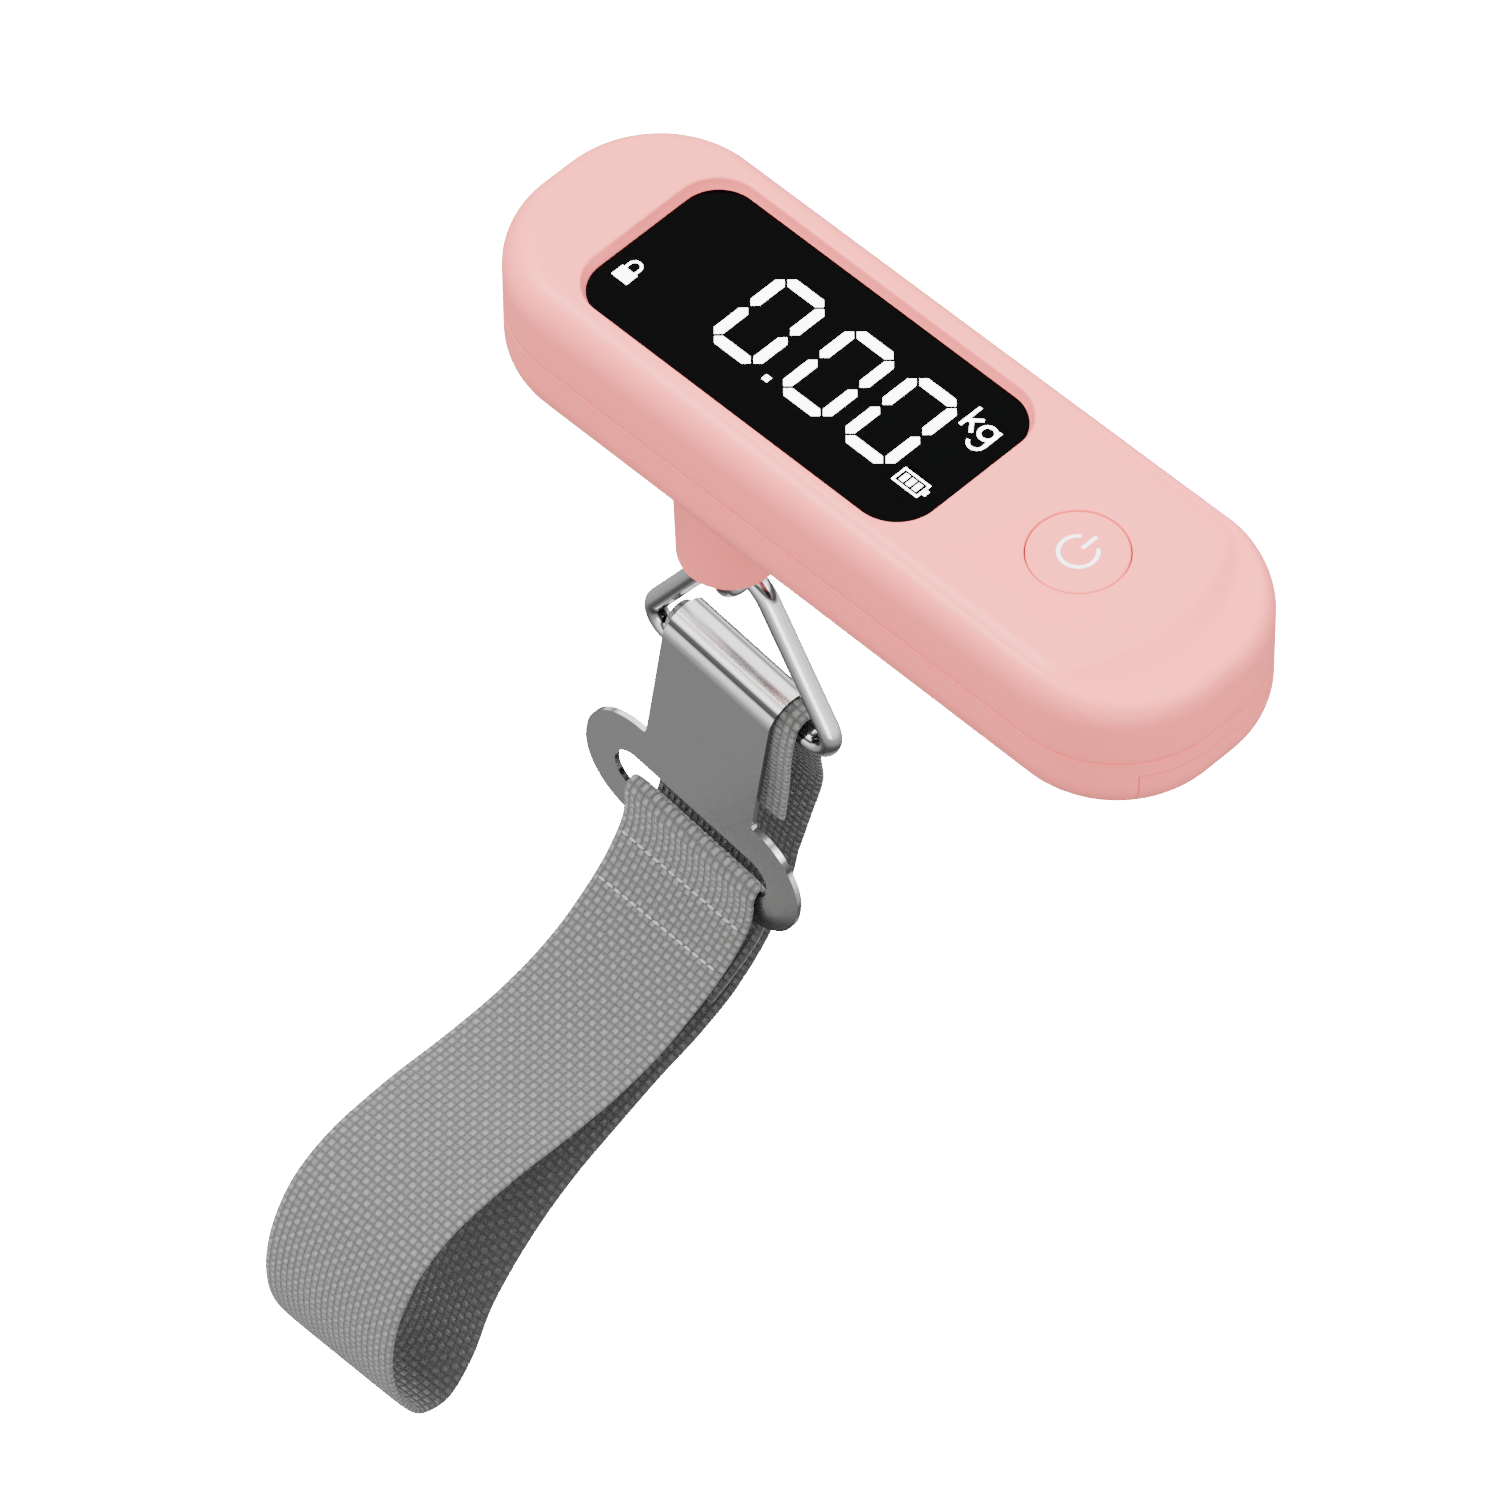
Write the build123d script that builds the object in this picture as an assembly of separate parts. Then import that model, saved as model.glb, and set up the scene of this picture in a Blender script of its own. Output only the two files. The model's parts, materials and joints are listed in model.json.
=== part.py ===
"""Digital luggage scale: a hand-held body with a neck, a triangular ring, a hook plate and a strap loop.

Units are millimetres.  The origin is the centre of the hand-held body, +X runs from the display
end to the button end, and +Z points out of the display side.
"""
import os
from math import cos, radians, sin

from build123d import *

os.makedirs("parts", exist_ok=True)

# ---------------------------------------------------------------- body
BODY_LENGTH = 122.4
BODY_WIDTH = 39.0
BODY_CORNER_R = 17.0
BODY_BOTTOM_Z = -12.0
LEDGE_Z = 11.0
TOP_Z = 12.0
TOP_EDGE_R = 4.2
BOTTOM_EDGE_R = 7.0
PARTING_Z = -0.3
WALL = 2.0
CAVITY_FLOOR_Z = BODY_BOTTOM_Z + WALL
CAVITY_CEILING_Z = 8.4
GAP = 0.15

# raised platform on the display side
PLATFORM_LENGTH = 109.5
PLATFORM_WIDTH = 33.2
PLATFORM_CORNER_R = 14.1
PLATFORM_X = -2.25
PLATFORM_CHAMFER = 0.95

# ---------------------------------------------------------------- display
DISPLAY_X = -14.3
WINDOW_LENGTH = 60.2
WINDOW_WIDTH = 28.0
WINDOW_CORNER_R = 5.9
WINDOW_TOP_Z = 10.3
WINDOW_THICKNESS = 1.0
GASKET_THICKNESS = 0.2
RECESS_FLARE = 0.75
APERTURE_LENGTH = 57.0
APERTURE_WIDTH = 24.8
MODULE_LENGTH = 58.0
MODULE_WIDTH = 25.0

# ---------------------------------------------------------------- button
BUTTON_X = 34.75
BUTTON_R = 6.85
BUTTON_FLANGE_R = 8.0
BUTTON_FLANGE_TOP_Z = 8.0
BUTTON_FLANGE_BOTTOM_Z = 7.1
DOME_R = 4.0
DOME_HEIGHT = 0.55

# ---------------------------------------------------------------- electronics
BOARD_THICKNESS = 1.2
BOARD_TOP_Z = 5.8
BOARD_LENGTH = 90.0
BOARD_WIDTH = 25.0
BOARD_X = -0.5

# ---------------------------------------------------------------- neck, load cell and eye
NECK_X = -29.0
NECK_BOTTOM_Z = -42.0
NECK_BOTTOM_R = 7.2
NECK_TOP_R = 8.0
NECK_BORE_R = 5.8
NECK_EDGE_R = 1.2
EYE_X = -26.9
EYE_CENTRE_Z = -43.3
EYE_R = 3.5
EYE_WIRE_R = 1.2
ROD_R = 1.5
ROD_TOP_Z = 3.7
BEAM_START_X = -33.5
BEAM_END_X = 5.0
BEAM_WIDTH = 12.0
BEAM_BOTTOM_Z = -4.5
BEAM_TOP_Z = 1.5
BEAM_WINDOW_X = -12.5
BEAM_WINDOW_R = 2.2
BEAM_WINDOW_SPACING = 7.0
POST_X = 0.5
POST_SCREW_SPACING = 5.0
POST_SCREW_R = 1.2

# ---------------------------------------------------------------- batteries and door
CELL_R = 5.15
CELL_LENGTH = 43.3
CELL_Y = 5.6
CELL_START_X = 9.0
CELL_Z = CAVITY_FLOOR_Z + CELL_R + 0.1
CONTACT_BOTTOM_Z = -8.0
BAY_INNER_Y = 11.6
BAY_WALL = 1.5
BAY_START_X = 7.0
BAY_END_X = 55.4
BAY_TOP_Z = PARTING_Z
DOOR_HALF_WIDTH = 12.4
DOOR_START_X = 9.6
DOOR_TOP_Z = -3.0

# ---------------------------------------------------------------- housing screws
SCREW_SITES = [(-50.0, 9.0), (-50.0, -9.0), (19.5, 15.2), (19.5, -15.2)]
SCREW_SHAFT_R = 1.0
SCREW_HEAD_R = 1.8
SCREW_HEAD_TOP_Z = -8.4
SCREW_HEAD_HEIGHT = 1.3
SCREW_TIP_Z = 5.5
SCREW_BOSS_R = 2.4

# ---------------------------------------------------------------- ring
RING_X = -26.7
RING_WIRE_R = 1.6
RING_BAR_Z = -68.3
RING_HALF_BASE = 19.2
RING_APEX_Z = -38.2
RING_CORNER_R = 3.2
RING_APEX_R = 6.0

# ---------------------------------------------------------------- hook plate
PLATE_X = -28.0
PLATE_AXIS_Z = -65.5
PLATE_ROLL = 8.5
PLATE_THICKNESS = 0.9
HOOK_INNER_R = 3.1
HOOK_WIDTH = 20.4
HOOK_LIP_LENGTH = 6.5
HOOK_LIP_FLARE = 15.0
EAR_WIDTH = 40.8
EAR_TOP = -24.0
EAR_BOTTOM = -44.1
EAR_R = 9.5
NOTCH_R = 0.6
SLOT_LENGTH = 29.4
SLOT_HEIGHT = 7.3
SLOT_Z = -34.8

# ---------------------------------------------------------------- strap
STRAP_WIDTH = 24.6
STRAP_THICKNESS = 1.1
STRAP_WRAP_R = 2.35
STRAP_SAMPLES = 440
STRAP_TOP_X = -26.8
STRAP_LOOP_X = -32.6
STRAP_SKEW_END_Z = -100.0
STRAP_ROLL_START_Z = -120.0
STRAP_ROLL_FULL_Z = -104.0
TAIL_UP_TO_WRAP = [(-0.9, -87.0), (-1.5, -78.0), (-2.2, -71.8), (-2.35, -68.6)]
WRAP_ANGLES = [180, 135, 90, 45, 0]
BACK_RUN = [
    (3.2, -71.5), (4.7, -78.0), (6.1, -84.5), (5.2, -91.5), (3.3, -102.5), (-1.0, -113.0), (-7.8, -120.8),
    (-15.3, -124.7), (-23.0, -127.2), (-31.0, -130.4), (-40.0, -134.4), (-48.0, -140.0), (-55.5, -148.0),
]
LOOP_END = [(-60.0, -156.5), (-64.5, -160.8), (-69.3, -159.6), (-72.6, -154.5)]
FRONT_RUN = [
    (-74.4, -148.6), (-74.6, -141.5), (-72.7, -134.6), (-68.6, -128.9), (-62.0, -125.5), (-51.0, -124.2),
    (-40.0, -124.4), (-30.0, -123.8), (-22.0, -121.8), (-15.0, -118.2), (-9.0, -113.4), (-5.6, -108.6),
    (-4.9, -105.6),
]
PLATE_WRAP = [
    (-4.75, -103.3), (-3.55, -101.9), (-2.4, -103.2), (-2.2, -105.5), (-2.2, -110.2), (-4.0, -113.6),
    (-8.2, -117.2), (-13.0, -120.0),
]


def at(x, y, z):
    """A location at the given point."""
    return Location((x, y, z))


def cylinder(x, y, bottom, top, radius):
    """An upright cylinder between two heights."""
    return at(x, y, bottom) * extrude(Circle(radius), top - bottom)


def block(x0, x1, y0, y1, z0, z1):
    """A box given by its corner coordinates."""
    size = (x1 - x0, y1 - y0, z1 - z0)
    return at((x0 + x1) / 2, (y0 + y1) / 2, (z0 + z1) / 2) * Box(*size)


def rounded_slab(x, length, width, radius, bottom, top):
    """A flat slab with a rounded-rectangle outline."""
    return at(x, 0, bottom) * extrude(RectangleRounded(length, width, radius), top - bottom)


def edges_at(solid, height):
    """The edges of a solid that lie in one horizontal plane."""
    return solid.edges().filter_by(lambda edge: abs(edge.bounding_box().min.Z - height) < 1e-4
                                   and abs(edge.bounding_box().max.Z - height) < 1e-4)


def body_outside():
    """The outer shape of the hand-held body, without its neck."""
    slab = rounded_slab(0, BODY_LENGTH, BODY_WIDTH, BODY_CORNER_R, BODY_BOTTOM_Z, LEDGE_Z)
    slab = fillet(edges_at(slab, LEDGE_Z), TOP_EDGE_R)
    slab = fillet(edges_at(slab, BODY_BOTTOM_Z), BOTTOM_EDGE_R)
    platform = rounded_slab(PLATFORM_X, PLATFORM_LENGTH, PLATFORM_WIDTH, PLATFORM_CORNER_R, LEDGE_Z - WALL, TOP_Z)
    platform = chamfer(edges_at(platform, TOP_Z), PLATFORM_CHAMFER)
    return slab + platform


def body_cavity(inset=0.0):
    """The hollow inside both housings, made smaller all round by the inset."""
    wall = WALL + inset
    cavity = rounded_slab(0, BODY_LENGTH - 2 * wall, BODY_WIDTH - 2 * wall, BODY_CORNER_R - wall,
                          CAVITY_FLOOR_Z + inset, CAVITY_CEILING_Z - inset)
    cavity = fillet(edges_at(cavity, CAVITY_CEILING_Z - inset), TOP_EDGE_R - wall)
    return fillet(edges_at(cavity, CAVITY_FLOOR_Z + inset), BOTTOM_EDGE_R - wall)


def upper_half():
    """The space above the parting plane."""
    return block(-BODY_LENGTH, BODY_LENGTH, -BODY_WIDTH, BODY_WIDTH, PARTING_Z, TOP_Z + WALL)


def lower_half():
    """The space below the parting plane."""
    return block(-BODY_LENGTH, BODY_LENGTH, -BODY_WIDTH, BODY_WIDTH, BODY_BOTTOM_Z - WALL, PARTING_Z)


def upper_housing():
    """The display-side shell with its recess, aperture, button hole and screw posts."""
    shell = (body_outside() & upper_half()) - body_cavity()
    pocket_floor = WINDOW_TOP_Z - WINDOW_THICKNESS - GASKET_THICKNESS
    shell -= rounded_slab(DISPLAY_X, WINDOW_LENGTH + 2 * GAP, WINDOW_WIDTH + 2 * GAP, WINDOW_CORNER_R + GAP,
                          pocket_floor, TOP_Z + WALL)
    mouth = Plane.XY.offset(TOP_Z) * RectangleRounded(WINDOW_LENGTH + 2 * RECESS_FLARE,
                                                      WINDOW_WIDTH + 2 * RECESS_FLARE,
                                                      WINDOW_CORNER_R + RECESS_FLARE)
    foot = Plane.XY.offset(WINDOW_TOP_Z) * RectangleRounded(WINDOW_LENGTH + 2 * GAP, WINDOW_WIDTH + 2 * GAP,
                                                            WINDOW_CORNER_R + GAP)
    shell -= at(DISPLAY_X, 0, 0) * loft([foot, mouth])
    shell -= rounded_slab(DISPLAY_X, APERTURE_LENGTH, APERTURE_WIDTH, WINDOW_CORNER_R - RECESS_FLARE,
                          CAVITY_CEILING_Z - WALL, TOP_Z)
    shell -= cylinder(BUTTON_X, 0, CAVITY_CEILING_Z - WALL, TOP_Z + WALL, BUTTON_R + GAP)
    for x, y in SCREW_SITES:
        shell += cylinder(x, y, PARTING_Z, CAVITY_CEILING_Z + 0.2, SCREW_BOSS_R) & body_outside()
        shell -= cylinder(x, y, PARTING_Z - WALL, SCREW_TIP_Z + 0.5, SCREW_SHAFT_R + 0.05)
    return shell


def neck_shape():
    """The neck under the body as a solid cone with a softened rim."""
    cone = at(NECK_X, 0, (NECK_BOTTOM_Z + CAVITY_FLOOR_Z) / 2) * Cone(
        NECK_BOTTOM_R, NECK_TOP_R, CAVITY_FLOOR_Z - NECK_BOTTOM_Z)
    return fillet(edges_at(cone, NECK_BOTTOM_Z), NECK_EDGE_R)


def door_space(clearance):
    """The part of the bottom and end wall that the battery door takes up."""
    return block(DOOR_START_X - clearance, BODY_LENGTH, -DOOR_HALF_WIDTH - clearance, DOOR_HALF_WIDTH + clearance,
                 BODY_BOTTOM_Z - WALL, DOOR_TOP_Z + clearance)


def battery_bay():
    """The four upright walls round the two cells."""
    outer_y = BAY_INNER_Y + BAY_WALL
    walls = block(BAY_START_X - BAY_WALL, BAY_END_X + BAY_WALL, -outer_y, outer_y, CAVITY_FLOOR_Z - 0.5, BAY_TOP_Z)
    walls -= block(BAY_START_X, BAY_END_X, -BAY_INNER_Y, BAY_INNER_Y, CAVITY_FLOOR_Z - WALL, BAY_TOP_Z + WALL)
    beside_door = (walls - door_space(GAP)) & body_outside()
    return beside_door + (walls & body_cavity(GAP))


def lower_housing():
    """The underside shell with its neck, load cell post, battery bay and screw bosses."""
    outside = body_outside()
    shell = ((outside & lower_half()) - body_cavity()) - door_space(GAP)
    shell += battery_bay()
    shell += block(POST_X - 4.5, POST_X + 4.5, -BEAM_WIDTH / 2, BEAM_WIDTH / 2, CAVITY_FLOOR_Z - 0.5, BEAM_BOTTOM_Z)
    for side in (-1, 1):
        shell -= cylinder(POST_X + side * POST_SCREW_SPACING / 2, 0, CAVITY_FLOOR_Z + 0.8, BEAM_BOTTOM_Z + WALL,
                          POST_SCREW_R + 0.05)
    shell += neck_shape()
    shell -= cylinder(NECK_X, 0, NECK_BOTTOM_Z - WALL, CAVITY_FLOOR_Z + WALL, NECK_BORE_R)
    for x, y in SCREW_SITES:
        boss = cylinder(x, y, BODY_BOTTOM_Z, PARTING_Z, SCREW_BOSS_R) & outside
        shell += boss
        shell -= cylinder(x, y, BODY_BOTTOM_Z - WALL, SCREW_HEAD_TOP_Z, SCREW_HEAD_R + GAP)
        shell -= cylinder(x, y, BODY_BOTTOM_Z - WALL, PARTING_Z + WALL, SCREW_SHAFT_R + GAP)
    return shell


def battery_door():
    """The sliding cover: a piece of the bottom wall and of the end wall with finger grooves."""
    door = ((body_outside() & lower_half()) - body_cavity()) & door_space(0)
    for index in range(4):
        groove_x = BODY_LENGTH / 2 - BOTTOM_EDGE_R - 5.0 - 1.8 * index
        door -= block(groove_x, groove_x + 0.8, -6.0, 6.0, BODY_BOTTOM_Z - WALL, BODY_BOTTOM_Z + 0.45)
    return door


def display_window():
    """The dark glossy window over the display."""
    bottom = WINDOW_TOP_Z - WINDOW_THICKNESS
    return rounded_slab(DISPLAY_X, WINDOW_LENGTH, WINDOW_WIDTH, WINDOW_CORNER_R, bottom, WINDOW_TOP_Z)


def window_gasket():
    """The adhesive frame that holds the window."""
    top = WINDOW_TOP_Z - WINDOW_THICKNESS
    frame = rounded_slab(DISPLAY_X, WINDOW_LENGTH, WINDOW_WIDTH, WINDOW_CORNER_R, top - GASKET_THICKNESS, top)
    hole = rounded_slab(DISPLAY_X, APERTURE_LENGTH, APERTURE_WIDTH, WINDOW_CORNER_R - RECESS_FLARE,
                        top - WALL, top + WALL)
    return frame - hole


def display_module():
    """The numeric display block that stands on the circuit board."""
    return rounded_slab(DISPLAY_X, MODULE_LENGTH, MODULE_WIDTH, 0.8, BOARD_TOP_Z, CAVITY_CEILING_Z)


def button_cap():
    """The round power button with a retaining flange and a plunger."""
    cap = cylinder(BUTTON_X, 0, BUTTON_FLANGE_TOP_Z, TOP_Z, BUTTON_R)
    cap = fillet(edges_at(cap, TOP_Z), 0.35)
    flange = cylinder(BUTTON_X, 0, BUTTON_FLANGE_BOTTOM_Z, BUTTON_FLANGE_TOP_Z, BUTTON_FLANGE_R)
    return cap + flange


def switch_dome():
    """The metal snap dome under the button."""
    dome = cylinder(BUTTON_X, 0, BOARD_TOP_Z, BOARD_TOP_Z + DOME_HEIGHT, DOME_R)
    return chamfer(edges_at(dome, BOARD_TOP_Z + DOME_HEIGHT), DOME_HEIGHT * 0.7, DOME_R * 0.6)


def circuit_board():
    """The main board, notched for the housing posts."""
    board = rounded_slab(BOARD_X, BOARD_LENGTH, BOARD_WIDTH, 1.5, BOARD_TOP_Z - BOARD_THICKNESS, BOARD_TOP_Z)
    for x, y in SCREW_SITES:
        board -= cylinder(x, y, BOARD_TOP_Z - WALL, BOARD_TOP_Z + WALL, SCREW_BOSS_R + 0.5)
    return board


def board_chip():
    """The processor package under the board."""
    top = BOARD_TOP_Z - BOARD_THICKNESS
    return block(10.0, 17.0, -3.5, 3.5, top - 0.9, top)


def load_cell():
    """The aluminium bending beam with its double round window."""
    beam = block(BEAM_START_X, BEAM_END_X, -BEAM_WIDTH / 2, BEAM_WIDTH / 2, BEAM_BOTTOM_Z, BEAM_TOP_Z)
    middle = (BEAM_BOTTOM_Z + BEAM_TOP_Z) / 2
    for side in (-1, 1):
        x = BEAM_WINDOW_X + side * BEAM_WINDOW_SPACING / 2
        beam -= at(x, 0, middle) * Rot(90, 0, 0) * Cylinder(BEAM_WINDOW_R, 2 * BEAM_WIDTH)
        hole_x = POST_X + side * POST_SCREW_SPACING / 2
        beam -= cylinder(hole_x, 0, BEAM_BOTTOM_Z - WALL, BEAM_TOP_Z + WALL, POST_SCREW_R + GAP)
    half = BEAM_WINDOW_SPACING / 2
    beam -= block(BEAM_WINDOW_X - half, BEAM_WINDOW_X + half, -BEAM_WIDTH, BEAM_WIDTH, middle - 0.9, middle + 0.9)
    return beam - cylinder(EYE_X, 0, BEAM_BOTTOM_Z - WALL, BEAM_TOP_Z + WALL, ROD_R + GAP)


def strain_gauges():
    """The two foil gauges bonded over the thin webs of the beam."""
    upper = block(BEAM_WINDOW_X - 5, BEAM_WINDOW_X + 5, -3, 3, BEAM_TOP_Z, BEAM_TOP_Z + 0.2)
    lower = block(BEAM_WINDOW_X - 5, BEAM_WINDOW_X + 5, -3, 3, BEAM_BOTTOM_Z - 0.2, BEAM_BOTTOM_Z)
    return Compound([upper, lower])


def load_cell_screws():
    """The two screws that clamp the beam's fixed end to its post."""
    screws = []
    for side in (-1, 1):
        x = POST_X + side * POST_SCREW_SPACING / 2
        shaft = cylinder(x, 0, CAVITY_FLOOR_Z + 1.2, BEAM_TOP_Z, POST_SCREW_R)
        screws.append(shaft + cylinder(x, 0, BEAM_TOP_Z, BEAM_TOP_Z + 1.3, 2.1))
    return Compound(screws)


def eye_rod():
    """The steel rod that hangs from the beam and ends in an eye for the ring."""
    rod = cylinder(EYE_X, 0, EYE_CENTRE_Z + EYE_R, ROD_TOP_Z, ROD_R)
    eye = at(EYE_X, 0, EYE_CENTRE_Z) * Rot(0, 90, 0) * Torus(EYE_R, EYE_WIRE_R)
    return rod + eye


def rod_nut():
    """The hexagon nut on top of the beam."""
    nut = at(EYE_X, 0, BEAM_TOP_Z) * extrude(RegularPolygon(3.0, 6), 2.0)
    return nut - cylinder(EYE_X, 0, BEAM_TOP_Z - WALL, ROD_TOP_Z + WALL, ROD_R + 0.02)


def rod_washer():
    """The flat washer under the nut side's load, below the beam."""
    washer = cylinder(EYE_X, 0, BEAM_BOTTOM_Z - 0.6, BEAM_BOTTOM_Z, 3.2)
    return washer - cylinder(EYE_X, 0, BEAM_BOTTOM_Z - WALL, BEAM_BOTTOM_Z + WALL, ROD_R + GAP)


def battery_cells():
    """The two AAA cells, side by side and the opposite way round."""
    cells = []
    for side in (-1, 1):
        cell = Rot(0, 90, 0) * Cylinder(CELL_R, CELL_LENGTH)
        nub = at(side * (CELL_LENGTH / 2 + 0.4), 0, 0) * Rot(0, 90, 0) * Cylinder(1.9, 0.8)
        cells.append(at(CELL_START_X + CELL_LENGTH / 2, side * CELL_Y, CELL_Z) * (cell + nub))
    return Compound(cells)


def contact_plates():
    """The flat battery contacts against the inner wall of the bay."""
    plates = []
    for side in (-1, 1):
        plates.append(block(BAY_START_X, BAY_START_X + 0.4, side * CELL_Y - 4.4, side * CELL_Y + 4.4,
                            CONTACT_BOTTOM_Z, BAY_TOP_Z - 0.3))
    return Compound(plates)


def contact_springs():
    """The leaf contacts at the door end of the bay, each a plate with a bent tongue."""
    springs = []
    for side in (-1, 1):
        plate = block(BAY_END_X - 0.4, BAY_END_X, side * CELL_Y - 4.4, side * CELL_Y + 4.4,
                      CONTACT_BOTTOM_Z, BAY_TOP_Z - 0.3)
        tongue = Polyline((BAY_END_X - 0.3, -7.7), (BAY_END_X - 1.9, -4.9), (BAY_END_X - 0.3, -2.1),
                          (BAY_END_X - 0.3, -2.6), (BAY_END_X - 1.5, -4.9), (BAY_END_X - 0.3, -7.2), close=True)
        leaf = extrude(Plane.XZ.offset(-side * CELL_Y) * make_face(tongue), 2.0, both=True)
        springs.append(plate + leaf)
    return Compound(springs)


def housing_screws():
    """The four self-tapping screws that join the housings."""
    screws = []
    for x, y in SCREW_SITES:
        head = cylinder(x, y, SCREW_HEAD_TOP_Z - SCREW_HEAD_HEIGHT, SCREW_HEAD_TOP_Z, SCREW_HEAD_R)
        head -= block(x - 1.3, x + 1.3, y - 0.25, y + 0.25, BODY_BOTTOM_Z, SCREW_HEAD_TOP_Z - 0.7)
        head -= block(x - 0.25, x + 0.25, y - 1.3, y + 1.3, BODY_BOTTOM_Z, SCREW_HEAD_TOP_Z - 0.7)
        screws.append(head + cylinder(x, y, SCREW_HEAD_TOP_Z - 0.1, SCREW_TIP_Z, SCREW_SHAFT_R))
    return Compound(screws)


def triangular_ring():
    """The bent wire ring, with its apex in the eye and its straight bar at the bottom."""
    start = (RING_X, 0, RING_BAR_Z)
    right = (RING_X + RING_HALF_BASE, 0, RING_BAR_Z)
    left = (RING_X - RING_HALF_BASE, 0, RING_BAR_Z)
    apex = (RING_X, 0, RING_APEX_Z)
    sides = FilletPolyline(start, right, apex, left, (RING_X - 1.0, 0, RING_BAR_Z),
                           radius=[RING_CORNER_R, RING_APEX_R, RING_CORNER_R])
    path = Wire(sides.edges() + [Line((RING_X - 1.0, 0, RING_BAR_Z), start)])
    section = Plane(origin=path @ 0, z_dir=path % 0) * Circle(RING_WIRE_R)
    return sweep(section, path=path)


def plate_outline():
    """The flat outline of the hook plate below its bend, in its own X and Z."""
    bend_to_ears = Pos(0, EAR_TOP / 2) * Rectangle(HOOK_WIDTH, -EAR_TOP)
    ears = Pos(0, (EAR_TOP + EAR_BOTTOM) / 2) * RectangleRounded(EAR_WIDTH, EAR_TOP - EAR_BOTTOM, EAR_R)
    outline = bend_to_ears + ears
    notches = outline.vertices().filter_by(lambda v: abs(v.Y - EAR_TOP) < 1e-3
                                           and abs(abs(v.X) - HOOK_WIDTH / 2) < 1e-3)
    outline = fillet(notches, NOTCH_R)
    return outline - Pos(0, SLOT_Z) * SlotOverall(SLOT_LENGTH, SLOT_HEIGHT)


def hook_bend():
    """The half-round hook and its flared lip, as a strip profile carried across the plate."""
    outer_r = HOOK_INNER_R + PLATE_THICKNESS
    flare = radians(HOOK_LIP_FLARE)
    strip = [(HOOK_INNER_R, 0), (outer_r, 0),
             (outer_r + HOOK_LIP_LENGTH * sin(flare), -HOOK_LIP_LENGTH * cos(flare)),
             (HOOK_INNER_R + HOOK_LIP_LENGTH * sin(flare), -HOOK_LIP_LENGTH * cos(flare))]
    lip = make_face(Polyline(*strip, close=True))
    upper = Pos(0, outer_r / 2) * Rectangle(2 * outer_r, outer_r)
    half_ring = (Circle(outer_r) - Circle(HOOK_INNER_R)) & upper
    profile = Plane.YZ * (half_ring + lip)
    return extrude(profile, HOOK_WIDTH / 2, both=True)


def hook_plate():
    """The steel plate that hooks over the ring and carries the strap's free end."""
    front = Plane.XZ.offset(HOOK_INNER_R) * plate_outline()
    plate = extrude(front, PLATE_THICKNESS) + hook_bend()
    return at(PLATE_X, 0, PLATE_AXIS_Z) * Rot(0, PLATE_ROLL, 0) * plate


def strap_centre_line():
    """The points of the strap's middle line in the Y-Z plane, from one sewn tail to the other."""
    wrap = [(STRAP_WRAP_R * cos(radians(angle)), PLATE_AXIS_Z + STRAP_WRAP_R * sin(radians(angle)))
            for angle in WRAP_ANGLES]
    return TAIL_UP_TO_WRAP + wrap + BACK_RUN + LOOP_END + FRONT_RUN + PLATE_WRAP


def strap_point(point, height, side):
    """Carries a profile point out to one edge of the band, with the lean and roll it has at that height."""
    lean = min(max((height - STRAP_SKEW_END_Z) / (PLATE_AXIS_Z - STRAP_SKEW_END_Z), 0.0), 1.0)
    roll = min(max((height - STRAP_ROLL_START_Z) / (STRAP_ROLL_FULL_Z - STRAP_ROLL_START_Z), 0.0), 1.0)
    middle_x = STRAP_LOOP_X + lean * (STRAP_TOP_X - STRAP_LOOP_X)
    drop = side * STRAP_WIDTH / 2 * sin(radians(PLATE_ROLL)) * roll
    return Vector(middle_x + side * STRAP_WIDTH / 2, point.X, point.Y - drop)


def strap():
    """The flat webbing loop: one band of constant thickness between four long curves."""
    line = Spline(*[(y, z) for y, z in strap_centre_line()])
    curves, ends = {}, {}
    for face in (-1, 1):
        for side in (-1, 1):
            points = []
            for index in range(STRAP_SAMPLES + 1):
                share = index / STRAP_SAMPLES
                normal = (line % share).rotate(Axis.Z, 90) * (face * STRAP_THICKNESS / 2)
                centre = line @ share
                points.append(strap_point(centre + normal, centre.Y, side))
            curves[face, side] = Spline(*points)
            ends[face, side] = (points[0], points[-1])
    order = [(-1, -1), (-1, 1), (1, 1), (1, -1)]
    faces = [Face.make_surface_from_curves(curves[a], curves[b]) for a, b in zip(order, order[1:] + order[:1])]
    for end in (0, 1):
        faces.append(Face(Wire.make_polygon([ends[key][end] for key in order])))
    return Solid(Shell(faces))


PARTS = {
    "upper_housing": upper_housing,
    "lower_housing": lower_housing,
    "battery_door": battery_door,
    "display_window": display_window,
    "window_gasket": window_gasket,
    "display_module": display_module,
    "button_cap": button_cap,
    "switch_dome": switch_dome,
    "circuit_board": circuit_board,
    "board_chip": board_chip,
    "load_cell": load_cell,
    "strain_gauges": strain_gauges,
    "load_cell_screws": load_cell_screws,
    "eye_rod": eye_rod,
    "rod_nut": rod_nut,
    "rod_washer": rod_washer,
    "battery_cells": battery_cells,
    "contact_plates": contact_plates,
    "contact_springs": contact_springs,
    "housing_screws": housing_screws,
    "triangular_ring": triangular_ring,
    "hook_plate": hook_plate,
    "strap": strap,
}

for name, build in PARTS.items():
    export_step(build(), f"parts/{name}.step")
    print(name)
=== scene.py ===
"""Looks of the digital luggage scale: satin pink body, glossy window, chrome ring and plate, woven strap.

Lengths are in millimetres in the constants and metres in the meshes.  The frame is the CAD part's own:
the origin is the centre of the hand-held body, +X points to the button end and +Z out of the display.
"""

import json
import logging
import math
from dataclasses import dataclass, field
from enum import Enum

import bmesh
import bpy
import numpy as np
from mathutils import Matrix, Vector

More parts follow.
